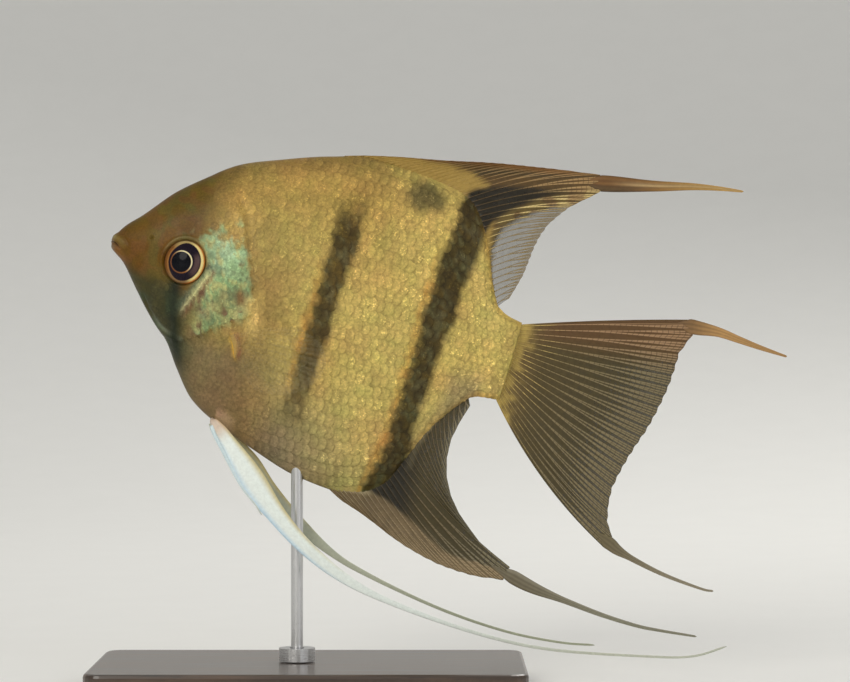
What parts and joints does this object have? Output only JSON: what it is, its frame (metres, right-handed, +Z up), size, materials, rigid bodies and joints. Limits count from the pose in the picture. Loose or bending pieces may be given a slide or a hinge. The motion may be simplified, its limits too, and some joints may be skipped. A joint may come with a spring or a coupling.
{
  "type": "freshwater angelfish model",
  "caption": "Still life-size freshwater angelfish, a deep flat silver-gold cichlid with dark bars and long trailing fins, held nose up on a rod above a flat base.",
  "frame": {"origin": "centre of the flat underside of the stand's base", "axes": "+Z up; the fish faces -X, nose up by 17 degrees; +Y to its right side, with the fish's middle plane at y = 0"},
  "size_m": [0.1608, 0.056, 0.1241],
  "materials": {
    "flesh": "wet-looking scaled skin, silver-gold with dark olive bars",
    "eye": "glossy eye, gold ring round a dark iris and pupil",
    "fin": "satin translucent fin with brown rays",
    "clear_fin": "nearly clear fin with fine rays",
    "white_fin": "satin white fin rays",
    "stand_wood": "dark stained hardwood, satin",
    "stand_steel": "fine brushed"
  },
  "bodies": {
    "root": {"head": "flesh", "upper_lip": "flesh", "lower_jaw": "flesh", "gill_cover_left": "flesh", "gill_cover_right": "flesh", "trunk": "flesh", "tail_base": "flesh", "eye_left": "eye", "eye_right": "eye", "dorsal_fin": "fin", "dorsal_streamer": "fin", "anal_fin": "fin", "anal_streamer": "fin", "tail_fin": "fin", "tail_streamer_upper": "fin", "tail_streamer_lower": "fin", "pectoral_fin_left": "clear_fin", "pectoral_fin_right": "clear_fin", "pelvic_fin_left": "white_fin", "pelvic_fin_right": "white_fin", "pelvic_filament_left": "white_fin", "pelvic_filament_right": "white_fin", "stand_base": "stand_wood", "stand_rod": "stand_steel", "stand_collar": "stand_steel"}
  },
  "joints": []
}
